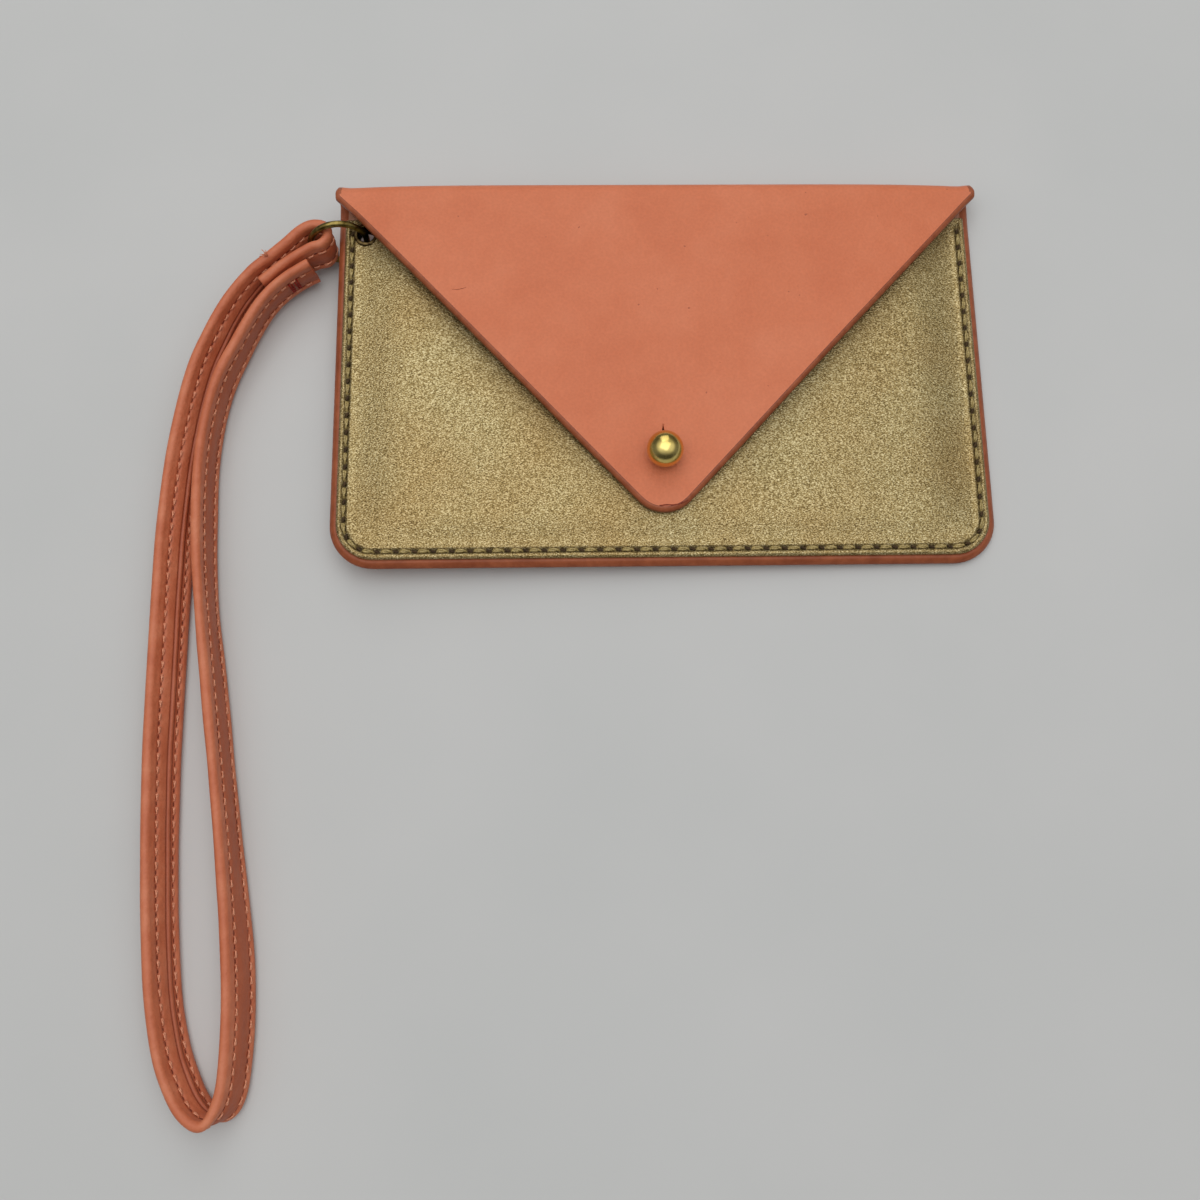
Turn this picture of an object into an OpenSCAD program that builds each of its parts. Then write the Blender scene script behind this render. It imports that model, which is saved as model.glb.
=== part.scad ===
// Wristlet wallet: an envelope card wallet with a button-stud flap and a wrist strap.
// Origin at the middle of the back panel's outer face. +X to the right, +Y towards the fold, +Z to the flap.

/* [Wallet] */
// Width of the leather body
body_w = 120; // [100:1:150]
// Height of the closed wallet, from the bottom edge to the outside of the fold
body_h = 74; // [62:1:92]
// Thickness of the coral leather of the back, fold and flap
leather_t = 1.6; // [1.2:0.1:2]
// Radius of the two bottom corners
corner_r = 8; // [4:0.5:12]
// Depth of the empty card pocket between the two linings
pocket_gap = 0.7; // [0.4:0.1:1.2]

/* [Front panel] */
// Thickness of the gold front leather
front_t = 0.9; // [0.7:0.1:1.2]
// Coral rim that shows around the gold panel
rim_w = 1.6; // [1:0.1:2.5]
// Distance from the outside of the fold down to the mouth of the pocket
mouth_drop = 6.5; // [6:0.5:10]
// Flat margin of the front panel at the left and right sides, measured from the body's edge
side_margin = 8.2; // [8:0.1:11]
// Flat margin of the front panel along the bottom, measured from the body's edge
bottom_margin = 4.8; // [4:0.1:8]
// Width of the slope between the flat margin and the raised middle
slope_w = 4; // [3:0.5:7]
// Thickness of the lining cloth
lining_t = 0.25; // [0.2:0.05:0.4]

/* [Edge stitching] */
// Distance of the stitch line from the body's edge
stitch_inset = 2.7; // [2.4:0.1:3]
// Distance from one stitch to the next
stitch_pitch = 3.3; // [2.8:0.1:4.5]
// Length of one visible stitch
stitch_len = 2.5; // [1.8:0.1:2.7]
// Width of the thread
thread_w = 0.44; // [0.3:0.02:0.6]

/* [Flap] */
// Gap between the closed flap and the front panel
flap_gap = 0.6; // [0.5:0.1:0.8]
// Height that the flap's point keeps above the bottom edge
tip_rise = 8.8; // [7:0.1:12]
// Radius of the flap's point
tip_r = 6.3; // [5.5:0.1:8]
// Angle of each of the two fold hinges below and above the middle of the fold
fold_angle = 50; // [46:1:56]

/* [Button stud] */
// Distance of the stud from the bottom edge
stud_rise = 19.2; // [18:0.1:22]
// Diameter of the ball head
ball_d = 6.5; // [6:0.1:7]
// Diameter of the neck under the ball
neck_d = 2.8; // [2.4:0.1:3]
// Diameter of the stud's round foot
foot_d = 5.2; // [4.6:0.1:6]
// Diameter of the screw's shank
screw_d = 1.8; // [1.6:0.1:1.8]
// Diameter of the screw's flat head
screw_head_d = 6; // [5:0.1:7]
// Diameter of the flap's button hole
keyhole_d = 3.9; // [3.8:0.1:4.4]
// Length of the slit above the button hole, measured from the hole's middle
slit_len = 6; // [5.6:0.1:8]

/* [Eyelet and ring] */
// Distance of the eyelet from the body's left edge
eyelet_inset = 5.3; // [5.2:0.1:5.5]
// Distance of the eyelet from the outside of the fold
eyelet_drop = 9.6; // [9.4:0.1:11]
// Inner diameter of the eyelet
eyelet_d = 3.1; // [3:0.1:3.3]
// Outer diameter of the eyelet's flange
flange_d = 4.7; // [4.4:0.1:4.8]
// Radius of the strap ring, to the middle of its wire
ring_r = 5.2; // [5.1:0.05:5.3]
// Diameter of the ring's wire
wire_d = 1.2; // [1:0.05:1.25]

/* [Wrist strap] */
// Width of the strap
strap_w = 7.6; // [7:0.1:7.8]
// Thickness of the strap
strap_t = 1.8; // [1.5:0.1:1.8]

/* [Hidden] */
$fn = 64;

// Colours, as the photograph shows them
coral = [0.88, 0.48, 0.36];
gold = [0.72, 0.65, 0.42];
brass = [0.78, 0.62, 0.28];
old_brass = [0.45, 0.36, 0.2];
thread_gold = [0.5, 0.42, 0.25];
thread_red = [0.62, 0.2, 0.12];
cloth = [0.66, 0.6, 0.54];

// Heights of the layers, from the back face up
fit = 0.05;
lining_top = leather_t + lining_t;
front_lining_z = lining_top + pocket_gap;
raised_z = front_lining_z + lining_t;
front_top = raised_z + front_t;
margin_top = leather_t + front_t;
flap_z = front_top + flap_gap;
flap_top = flap_z + leather_t;

// The fold is a half circle of leather that joins the back to the flap
fold_r = flap_top / 2;
fold_mid_r = fold_r - leather_t / 2;
fold_y = body_h / 2 - fold_r;
knuckle_r = leather_t / 2;
strip_cut_r = knuckle_r * 1.5;
hinge_y = fold_y + fold_mid_r * cos(fold_angle);
hinge_rise = fold_mid_r * sin(fold_angle);

// Outlines
bottom_y = -body_h / 2;
mouth_y = body_h / 2 - mouth_drop;
lining_edge = lining_t * slope_w / (pocket_gap + lining_t) + 0.3;
tip_y = bottom_y + tip_rise;
flap_shoulder = 0.75;
slit_w = 0.4;
lips_r = ball_d / 2 + 1.35;
stud_y = bottom_y + stud_rise;

// Stud
foot_t = 0.4;
ball_lift = 5.2;
ball_z = front_top + ball_lift;
screw_reach = 1.9;
screw_head_t = pocket_gap * 0.7;

// Eyelet and ring
barrel_t = 0.35;
flange_t = 0.45;
washer_t = 0.35;
roll_t = 0.2;
eyelet_x = -body_w / 2 + eyelet_inset;
eyelet_y = body_h / 2 - eyelet_drop;
barrel_r = eyelet_d / 2 + barrel_t;
ring_turn = 8;
ring_lean = 8;
ring_offset = 0.2;
ring_z = margin_top / 2 + 0.15;

// The table that the strap lies on: the ring props up the wallet's left side
rest_slope = 0.0365;
function rest_z(x) = -rest_slope * (body_w / 2 - x);

// The strap's route: x, y, how far the top edge leans over the bottom edge in x and y, and lift off the table.
// It starts at the cut end that is folded back, goes round the ring, down, through the bend and up again.
route = [
    [-73.7, 17.9, -0.1, 0.1, 1.1],
    [-70.5, 20.4, -0.1, 0.2, 1.4],
    [-67.4, 22.4, -0.1, 0.4, 1.7],
    [-64.7, 23.8, -0.1, 0.6, 1.9],
    [-62.6, 24.4, -0.2, 0.8, 2.1],
    [-61.6, 26.0, -0.1, 0.8, 2.1],
    [-62.2, 27.8, -0.1, 0.8, 2.1],
    [-64.4, 28.3, -0.2, 0.8, 2],
    [-66.6, 27.3, -0.4, 0.8, 1.9],
    [-69.2, 25.0, -0.6, 0.8, 1.6],
    [-72.2, 22.5, -0.8, 0.7, 1.3],
    [-75.5, 19.7, -1.2, 0.7, 1],
    [-79.3, 14.7, -1.9, 0.6, 0.6],
    [-82.5, 8.0, -2.7, 0.5, 0.3],
    [-85.1, 0.5, -3.2, 0.2, 0.1],
    [-87.4, -13, -3.6, -0.1, 0],
    [-88.4, -28, -3.8, -0.3, 0],
    [-88.5, -42, -3.7, -0.3, 0],
    [-88.4, -56, -3.6, -0.2, 0],
    [-88.2, -70, -3.3, -0.1, 0],
    [-87.6, -84, -3.1, 0, 0],
    [-86.7, -97, -2.9, 0.1, 0],
    [-85.4, -109, -2.9, 0.1, 0],
    [-83.6, -117.5, -3, -0.7, 0],
    [-81.6, -122.7, -2.8, -1.3, 0],
    [-79.4, -126.5, -2.2, -1.6, 0],
    [-76.8, -128.6, -1.6, -0.8, 0],
    [-74.5, -127.6, -1.8, 0.6, 0],
    [-73.2, -124.8, -2.2, 0.8, 0],
    [-72.7, -120, -2.4, 0.4, 0],
    [-72.6, -112, -2.6, 0.3, 0],
    [-73.3, -102, -2.5, 0.2, 0],
    [-74.9, -90, -1.8, 0.1, 0],
    [-77.2, -74, -1.4, -0.1, 0],
    [-79.7, -57, -1.3, -0.3, 0],
    [-81.9, -42, -1, -0.3, 0],
    [-83.1, -28, -1.3, -0.5, 0],
    [-83.2, -14, -1.3, -0.6, 0],
    [-81.3, -2, -1.1, -0.2, 0.2],
    [-77.9, 6.3, -0.5, 0.1, 0.5],
    [-74.8, 12.3, -0.2, 0.1, 0.9],
    [-72.1, 15.9, -0.1, 0.1, 1.2],
    [-69.3, 18.4, -0.1, 0.1, 1.4],
    [-66.9, 19.9, 0, 0.1, 1.6],
    [-64.7, 21, 0, 0.2, 1.8]
];
spine_w = strap_w - strap_t;
last_row = len(route) - 1;

function unit(v) = v / norm(v);
function row(i) = route[max(0, min(last_row, i))];
// A smooth curve through the rows of the route, at u = row number plus a share of the way to the next row
function blend(a, b, c, d, t) =
    (2 * b + (c - a) * t + (2 * a - 5 * b + 4 * c - d) * t ^ 2 + (3 * b - a - 3 * c + d) * t ^ 3) / 2;
function smooth_row(u) =
    let (i = min(floor(u), last_row - 1))
    blend(row(i - 1), row(i), row(i + 1), row(i + 2), u - i);
function lean_rise(r) = sqrt(spine_w ^ 2 - r[2] ^ 2 - r[3] ^ 2);
function strap_centre(u) =
    let (r = smooth_row(u))
    [r[0], r[1], rest_z(r[0]) + r[4] + (lean_rise(r) + strap_t) / 2];
function strap_way(u) = unit(strap_centre(min(u + 0.1, last_row)) - strap_centre(max(u - 0.1, 0)));
function strap_across(u) =
    let (r = smooth_row(u), w = [r[2], r[3], lean_rise(r)], t = strap_way(u))
    unit(w - (w * t) * t);
function strap_out(u) = cross(strap_way(u), strap_across(u));
// A point of the strap: u along it, a across its width from the middle, b out of its face
function strap_point(u, a, b) = strap_centre(u) + a * strap_across(u) + b * strap_out(u);

// One corner of the strap's eight-sided section, with round edges
function section_corner(k) =
    let (end = k < 4 ? 1 : -1, angle = (k % 4) * 45 - 67.5, r = strap_t / 2 / sin(67.5))
    [end * (spine_w / 2 + r * cos(angle)), end * r * sin(angle)];

// A closed tube through rings of points, each ring with the same number of points
module tube(rings) {
    sides = len(rings[0]);
    rows = len(rings);
    points = [for (ring = rings) for (p = ring) p];
    walls = [
        for (i = [0:rows - 2]) for (k = [0:sides - 1])
            let (a = i * sides + k, b = i * sides + (k + 1) % sides)
            each [[a, b, b + sides], [a, b + sides, a + sides]]
    ];
    first_cap = [for (k = [sides - 1:-1:0]) k];
    last_cap = [for (k = [0:sides - 1]) (rows - 1) * sides + k];
    polyhedron(points, concat([first_cap], walls, [last_cap]));
}

// A plan outline with square top corners and round bottom corners, inset from the body's edges
module u_outline(side, bottom, top_y) {
    r = max(1, corner_r - bottom);
    half = body_w / 2 - side;
    low = bottom_y + bottom;
    for (s = [-1, 1]) translate([s * (half - r), low + r]) circle(r);
    translate([-half, low + r]) square([2 * half, top_y - low - r]);
    translate([-half + r, low]) square([2 * (half - r), r + 1]);
}

module plate(z, t) {
    translate([0, 0, z]) linear_extrude(t) children();
}

// Extrudes a side view, drawn with Y across and Z up, over the body's width
module along_width() {
    rotate([90, 0, 90]) linear_extrude(body_w, center = true) children();
}

// The bent leather between two angles of the fold, measured from the fold's outside
module fold_arc(from, to) {
    reach = 3 * fold_r;
    translate([fold_y, fold_r]) intersection() {
        difference() {
            circle(fold_r);
            circle(fold_r - leather_t);
        }
        polygon([[0, 0], reach * [cos(from), sin(from)], reach * [cos(to), sin(to)]]);
    }
}

module fold_hinge_spot(side) {
    translate([hinge_y, fold_r + side * hinge_rise]) children();
}

module eyelet_spot() {
    translate([eyelet_x, eyelet_y, 0]) children();
}

module stud_spot() {
    translate([0, stud_y, 0]) children();
}

// The bend from a flat panel into the fold, with a round end on the hinge
module fold_end(side) {
    along_width() {
        fold_arc(min(side * 90, side * fold_angle), max(side * 90, side * fold_angle));
        fold_hinge_spot(side) circle(knuckle_r);
    }
}

module back_panel() {
    color(coral) {
        difference() {
            plate(0, leather_t) u_outline(0, 0, fold_y);
            eyelet_spot() {
                translate([0, 0, -1]) cylinder(r = barrel_r + fit, h = leather_t + 2);
                translate([0, 0, -1]) cylinder(r = flange_d / 2 + fit, h = 1 + washer_t + roll_t);
            }
        }
        fold_end(-1);
    }
}

module back_lining() {
    color(cloth)
        plate(leather_t, lining_t)
            u_outline(side_margin + lining_edge, bottom_margin + lining_edge, mouth_y);
}

module front_panel() {
    color(gold)
        difference() {
            union() {
                plate(leather_t, front_t) u_outline(rim_w, rim_w, mouth_y);
                hull() {
                    plate(leather_t, front_t) u_outline(side_margin, bottom_margin, mouth_y);
                    plate(raised_z, front_t)
                        u_outline(side_margin + slope_w, bottom_margin + slope_w, mouth_y);
                }
            }
            hull() {
                plate(leather_t - 1, 1) u_outline(side_margin, bottom_margin, mouth_y + 1);
                plate(raised_z - lining_t, lining_t)
                    u_outline(side_margin + slope_w, bottom_margin + slope_w, mouth_y + 1);
            }
            eyelet_spot() cylinder(r = barrel_r + fit, h = flap_z);
            stud_spot() cylinder(d = screw_d + 2 * fit, h = flap_z);
        }
}

module front_lining() {
    inset = slope_w + lining_edge;
    color(cloth)
        difference() {
            plate(front_lining_z, lining_t)
                u_outline(side_margin + inset, bottom_margin + inset, mouth_y);
            stud_spot() cylinder(d = screw_d + 2 * fit, h = flap_z);
        }
}

// One stitch: a flat thread with pointed ends that dive into the needle holes
module stitch() {
    half = stitch_len / 2;
    tip = thread_w / 2;
    linear_extrude(thread_w)
        polygon([
            [-half, 0], [tip - half, -tip], [half - tip, -tip],
            [half, 0], [half - tip, tip], [tip - half, tip]
        ]);
}

// The line of stitches: down the left side, round the bottom corners and up the right side
stitch_r = corner_r - stitch_inset;
stitch_x = body_w / 2 - stitch_inset;
stitch_y = bottom_y + corner_r;
side_run = mouth_y - 1.5 - stitch_y;
bend_run = stitch_r * PI / 2;
base_run = 2 * (stitch_x - stitch_r);
whole_run = 2 * side_run + 2 * bend_run + base_run;
stitch_count = floor(whole_run / stitch_pitch);

// The place and turn of the stitch line at a distance s from the middle of the bottom edge
function half_line(s) =
    s < base_run / 2 ? [s, bottom_y + stitch_inset, 0]
    : s < base_run / 2 + bend_run
    ? let (a = (s - base_run / 2) / stitch_r * 180 / PI)
        [base_run / 2 + stitch_r * sin(a), stitch_y - stitch_r * cos(a), a]
    : [stitch_x, stitch_y + s - base_run / 2 - bend_run, 90];

module edge_stitching() {
    color(thread_gold)
        for (i = [0:stitch_count - 1]) {
            s = (i - (stitch_count - 1) / 2) * stitch_pitch;
            spot = half_line(abs(s));
            side = s < 0 ? -1 : 1;
            translate([side * spot[0], spot[1], margin_top]) rotate(side * spot[2]) stitch();
        }
}

module fold_strip() {
    color(coral)
        along_width()
            difference() {
                fold_arc(-fold_angle, fold_angle);
                for (side = [-1, 1]) fold_hinge_spot(side) circle(strip_cut_r);
            }
}

// The flap's outline: straight at the fold, two long slants and a round point
flap_low = tip_y + tip_r;
flap_corner_y = fold_y - flap_shoulder;
corner_away = [body_w / 2, flap_corner_y - flap_low];
slant = acos(tip_r / norm(corner_away));
tip_turn = slant - atan2(corner_away[1], corner_away[0]);
module flap_outline() {
    polygon(concat(
        [[-body_w / 2, fold_y], [-body_w / 2, flap_corner_y]],
        [for (a = [180 + tip_turn:(180 - 2 * tip_turn) / 24:360.01 - tip_turn]) [tip_r * cos(a), flap_low + tip_r * sin(a)]],
        [[body_w / 2, flap_corner_y], [body_w / 2, fold_y]]
    ));
}

module keyhole() {
    circle(d = keyhole_d);
    translate([-slit_w / 2, 0]) square([slit_w, slit_len]);
}

module flap() {
    color(coral) {
        difference() {
            plate(flap_z, leather_t) flap_outline();
            stud_spot() cylinder(r = lips_r + fit, h = flap_top + 1);
            stud_spot() plate(flap_z - 1, leather_t + 2) keyhole();
        }
        fold_end(1);
    }
}

module keyhole_lips() {
    color(coral)
        stud_spot()
            plate(flap_z, leather_t)
                difference() {
                    circle(lips_r);
                    keyhole();
                }
}

module ball_stud() {
    color(brass)
        stud_spot()
            difference() {
                union() {
                    translate([0, 0, front_top]) cylinder(d = foot_d, h = foot_t);
                    translate([0, 0, front_top]) cylinder(d = neck_d, h = ball_lift);
                    translate([0, 0, ball_z]) sphere(d = ball_d);
                }
                translate([0, 0, front_top - 1]) cylinder(d = screw_d + 2 * fit, h = screw_reach + 1.2);
            }
}

module stud_screw() {
    slot_w = 0.8;
    slot_t = screw_head_t / 2;
    head_z = front_lining_z - screw_head_t;
    color(brass)
        stud_spot()
            difference() {
                union() {
                    translate([0, 0, head_z]) cylinder(d = screw_head_d, h = screw_head_t);
                    translate([0, 0, head_z]) cylinder(d = screw_d, h = front_top + screw_reach - head_z);
                }
                translate([-screw_head_d, -slot_w / 2, head_z - 1]) cube([2 * screw_head_d, slot_w, 1 + slot_t]);
            }
}

module eyelet() {
    bore_r = eyelet_d / 2;
    edge = flange_t / 2;
    color(old_brass)
        eyelet_spot()
            rotate_extrude()
                difference() {
                    union() {
                        translate([bore_r, 0]) square([barrel_t, margin_top]);
                        translate([bore_r, margin_top]) square([flange_d / 2 - bore_r - edge, flange_t]);
                        translate([flange_d / 2 - edge, margin_top + edge]) circle(edge);
                        translate([bore_r, 0]) square([barrel_t * 2, roll_t]);
                    }
                    translate([flange_d / 2 - flange_t, roll_t]) square([flange_t, margin_top - roll_t]);
                }
}

module eyelet_washer() {
    color(old_brass)
        eyelet_spot()
            translate([0, 0, roll_t])
                difference() {
                    cylinder(d = flange_d, h = washer_t);
                    translate([0, 0, -1]) cylinder(r = barrel_r + fit, h = washer_t + 2);
                }
}

module strap_ring() {
    color(old_brass)
        translate([eyelet_x, eyelet_y, ring_z])
            rotate(ring_turn)
                translate([-ring_r - ring_offset, 0, 0])
                    rotate([90 - ring_lean, 0, 0])
                        rotate_extrude() translate([ring_r, 0]) circle(d = wire_d);
}

module wrist_strap() {
    rings_per_row = 5 / 3;
    ring_count = floor(last_row * rings_per_row);
    color(coral)
        tube([
            for (i = [0:ring_count])
                let (u = last_row * i / ring_count)
                [for (k = [0:7]) let (c = section_corner(k)) strap_point(u, c[0], c[1])]
        ]);
}

// Four bars of dark thread across the strap's top end
module bar_tack() {
    tack_at = last_row - 1.75;
    bars = 4;
    bar_step = 0.16;
    bar_w = 0.05;
    bar_half = 1.5;
    low = strap_t / 2 + 0.06;
    color(thread_red)
        for (i = [0:bars - 1]) {
            u = tack_at + (i - (bars - 1) / 2) * bar_step;
            tube([
                for (a = [-bar_half, bar_half])
                    [for (c = [[bar_w, low], [-bar_w, low], [-bar_w, low + 0.3], [bar_w, low + 0.3]])
                        strap_point(u + c[0], a, c[1])]
            ]);
        }
}

back_panel();
back_lining();
front_panel();
front_lining();
edge_stitching();
fold_strip();
flap();
keyhole_lips();
ball_stud();
stud_screw();
eyelet();
eyelet_washer();
strap_ring();
wrist_strap();
bar_tack();
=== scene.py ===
import math

import bmesh
import bpy
import numpy as np
from mathutils import Euler, Matrix, Vector
from mathutils.bvhtree import BVHTree


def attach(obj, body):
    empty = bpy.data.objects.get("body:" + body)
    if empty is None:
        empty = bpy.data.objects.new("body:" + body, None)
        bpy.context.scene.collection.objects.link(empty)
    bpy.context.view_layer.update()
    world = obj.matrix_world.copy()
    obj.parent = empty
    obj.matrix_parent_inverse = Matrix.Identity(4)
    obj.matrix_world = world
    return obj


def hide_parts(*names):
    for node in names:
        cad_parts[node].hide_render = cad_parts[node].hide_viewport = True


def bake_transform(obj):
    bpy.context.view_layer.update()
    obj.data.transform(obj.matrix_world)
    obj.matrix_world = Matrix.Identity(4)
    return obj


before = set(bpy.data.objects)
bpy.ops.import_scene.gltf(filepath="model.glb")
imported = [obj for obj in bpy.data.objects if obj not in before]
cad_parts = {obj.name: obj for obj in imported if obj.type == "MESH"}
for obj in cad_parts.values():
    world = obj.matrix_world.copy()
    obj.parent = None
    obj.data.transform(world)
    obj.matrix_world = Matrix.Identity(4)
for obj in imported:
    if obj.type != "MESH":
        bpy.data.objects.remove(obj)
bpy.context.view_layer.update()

# Lengths are millimetres, as in part.scad. to_piece() turns them to metres.
MM = 0.001

# ---------------------------------------------------------------------------
# The wallet's sizes, as part.scad has them
# ---------------------------------------------------------------------------
BODY_W, BODY_H = 120.0, 74.0
HALF_W = BODY_W / 2
LEATHER_T = 1.6
CORNER_R = 8.0
RIM_W = 1.6
MOUTH_Y = 30.5
BOTTOM_Y = -BODY_H / 2
FRONT_T = 0.9
MARGIN_TOP = 2.5
FRONT_TOP = 3.7
SIDE_MARGIN, BOTTOM_MARGIN, SLOPE_W = 8.2, 4.8, 4.0
FOLD_R = 2.95
FOLD_Y = 34.05
FLAP_CORNER_Y = 33.3
TIP_APEX_Y, TIP_TANGENT = -31.13, 6.77
# The outward direction of the flap's slanted edges, which run down from its corners at 48 degrees
SLANT_X, SLANT_Y = 0.746, 0.666
STUD_Y, BALL_Z, BALL_D = -17.8, 8.9, 6.5
KEYHOLE_D, SLIT_W, SLIT_TOP = 3.9, 0.4, -11.8
STITCH_INSET, STITCH_PITCH, STITCH_LEN = 2.7, 3.3, 2.5
EYELET = (-54.7, 27.4)
FRONT_HOLE_R, BACK_HOLE_R, WASHER_SEAT_R = 1.9, 1.95, 2.5
RING_R, WIRE_D, RING_Z = 5.2, 1.2, 1.4
RING_TURN, RING_LEAN, RING_OFFSET = 8.0, 8.0, 0.2
REST_SLOPE = 0.0365

# ---------------------------------------------------------------------------
# Camera, as the photograph was taken
# ---------------------------------------------------------------------------
W, H = 1200, 1200
L = max(W, H)
CAMERA_PLACE = (-16.2, -89.96, 208.7)
CAMERA_TURN = (12.71, -1.05, -0.84)
LENS, SENSOR = 36.0, 36.0
SHIFT_X, SHIFT_Y = 0.0, 0.0

lens_data = bpy.data.cameras.new("photo_camera")
lens_data.lens, lens_data.sensor_width, lens_data.sensor_fit = LENS, SENSOR, "AUTO"
lens_data.shift_x, lens_data.shift_y = SHIFT_X, SHIFT_Y
camera = bpy.data.objects.new("photo_camera", lens_data)
camera.location = Vector(CAMERA_PLACE) * MM
camera.rotation_euler = Euler([math.radians(a) for a in CAMERA_TURN], "XYZ")
bpy.context.scene.collection.objects.link(camera)
bpy.context.scene.camera = camera
bpy.context.view_layer.update()
CAMERA_MATRIX = camera.matrix_world.copy()

# Points of the photograph, in its 1200 x 1200 frame
POINTS = {
    "left": (330.0, None),
    "right": (992.8, None),
    "top": (None, 186.0),
    "bottom": (None, 569.5),
    "ball": (666.0, 448.7),
    "slit_top": (665.0, 423.0),
    "flap_tip": (669.0, 512.5),
    "fold_left_end": (339.0, 193.0),
    "fold_right_end": (974.0, 193.0),
    "eyelet": (367.5, 232.5),
    "ring_top": (341.0, 217.6),
    "stitch_left": (350.0, 400.0),
    "stitch_bottom": (600.0, 547.5),
    "stitch_right": (971.0, 400.0),
    "strap_bend": (198.0, 1137.0),
    "bar_tack": (293.0, 287.0),
    "fibre_tuft": (268.0, 256.0),
}


def on_surface(point, carrier):
    """The place and outward direction, in metres, where an image point meets a finished piece."""
    x, y = point
    way = Vector((x - W / 2 + SHIFT_X * L, H / 2 - y + SHIFT_Y * L, -L * LENS / SENSOR))
    way = (CAMERA_MATRIX.to_3x3() @ way).normalized()
    start = CAMERA_MATRIX.translation
    bm = bmesh.new()
    bm.from_mesh(carrier.data)
    tree = BVHTree.FromBMesh(bm)
    bm.free()
    place, normal, _, _ = tree.ray_cast(start, way)
    if place is None:
        nearest = None
        for step in range(120, 320):
            near, n, _, gap = tree.find_nearest(start + way * step * MM)
            if nearest is None or gap < nearest[0]:
                nearest = (gap, near, n)
        place, normal = nearest[1], nearest[2]
    return place, normal


# ---------------------------------------------------------------------------
# Materials
# ---------------------------------------------------------------------------
def colour(code):
    """A linear colour from an sRGB hex code."""
    parts = [int(code[i:i + 2], 16) / 255 for i in (1, 3, 5)]
    return [c / 12.92 if c <= 0.04045 else ((c + 0.055) / 1.055) ** 2.4 for c in parts] + [1.0]


def connect(tree, node, sockets):
    """Sets a node's inputs to plain values, or links the ones that are given as outputs."""
    for name, value in sockets.items():
        if isinstance(value, bpy.types.NodeSocket):
            tree.links.new(value, node.inputs[name])
        else:
            node.inputs[name].default_value = value


def add(tree, kind, sockets, **settings):
    made = tree.nodes.new(kind)
    for name, value in settings.items():
        setattr(made, name, value)
    connect(tree, made, sockets)
    return made


def new_material(name):
    material = bpy.data.materials.new(name)
    material.use_nodes = True
    tree = material.node_tree
    shader = tree.nodes["Principled BSDF"]
    place = add(tree, "ShaderNodeTexCoord", {}).outputs["Object"]
    return material, tree, shader, place


def ramp(tree, factor, stops):
    """Colours or greys between stops."""
    made = add(tree, "ShaderNodeValToRGB", {"Fac": factor})
    band = made.color_ramp
    while len(band.elements) < len(stops):
        band.elements.new(0.5)
    for element, (at, code) in zip(band.elements, stops):
        element.position = at
        element.color = colour(code) if isinstance(code, str) else (code, code, code, 1)
    return made.outputs["Color"]


def per_mm(size):
    """The texture scale that makes one feature of this size in millimetres."""
    return 1 / (size * MM)


def noise(tree, place, size, detail, rough=0.5):
    """Soft noise with blotches of about this size in millimetres."""
    sockets = {"Vector": place, "Scale": per_mm(size), "Detail": detail, "Roughness": rough}
    return add(tree, "ShaderNodeTexNoise", sockets).outputs["Fac"]


def cells(tree, place, size, feature="SMOOTH_F1"):
    """The distance from the middles of cells of about this size in millimetres."""
    sockets = {"Vector": place, "Scale": per_mm(size)}
    return add(tree, "ShaderNodeTexVoronoi", sockets, feature=feature).outputs["Distance"]


def layer(tree, name):
    """A value that the mesh carries at its points."""
    return add(tree, "ShaderNodeAttribute", {}, attribute_name=name).outputs["Fac"]


def mixed(tree, factor, one, other, blend="MIX"):
    sockets = {0: factor, 6: one, 7: other}
    return add(tree, "ShaderNodeMix", sockets, data_type="RGBA", blend_type=blend).outputs[2]


def combined(tree, one, other, operation="ADD"):
    return add(tree, "ShaderNodeMath", {0: one, 1: other}, operation=operation).outputs[0]


def emboss(tree, height, strength, depth):
    """The relief of a height, this many millimetres deep."""
    sockets = {"Height": height, "Strength": strength, "Distance": depth * MM}
    return add(tree, "ShaderNodeBump", sockets).outputs["Normal"]


def coated_leather(name, light, middle, dark, speck):
    """Split leather with a polyurethane coat, embossed with a fine grain: an even satin colour,
    slightly blotchy, with a soft sheen and a few dark specks of dust."""
    material, tree, shader, place = new_material(name)
    blotch = noise(tree, place, 11, 4.0, 0.55)
    tone = ramp(tree, blotch, [(0.3, dark), (0.5, middle), (0.72, light)])
    # Hide grain, 0.5 mm across, with finer pores
    grain = cells(tree, place, 0.48)
    pores = noise(tree, place, 0.35, 3.0)
    shade = ramp(tree, grain, [(0.25, 0.95), (0.75, 1.02)])
    grained = mixed(tree, 1.0, tone, shade, "MULTIPLY")
    dust = ramp(tree, noise(tree, place, 1.1, 1.0), [(0.79, 0.0), (0.82, 0.7)])
    connect(tree, shader, {
        "Base Color": mixed(tree, dust, grained, colour(speck)),
        "Roughness": add(tree, "ShaderNodeMapRange", {0: blotch, 3: 0.42, 4: 0.56}).outputs[0],
        "IOR": 1.5, "Specular IOR Level": 0.28,
        "Normal": emboss(tree, combined(tree, grain, pores), 0.8, 0.06),
    })
    return material


def edge_paint(name, middle, dark):
    """Acrylic edge paint, brushed on in coats over the cut leather: rounded, satin and a shade browner."""
    material, tree, shader, place = new_material(name)
    streak = noise(tree, place, 2.5, 5.0, 0.7)
    connect(tree, shader, {
        "Base Color": ramp(tree, streak, [(0.35, dark), (0.65, middle)]),
        "Roughness": 0.45, "IOR": 1.49, "Specular IOR Level": 0.3,
        "Normal": emboss(tree, noise(tree, place, 0.7, 3.0), 0.4, 0.06),
    })
    return material


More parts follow.
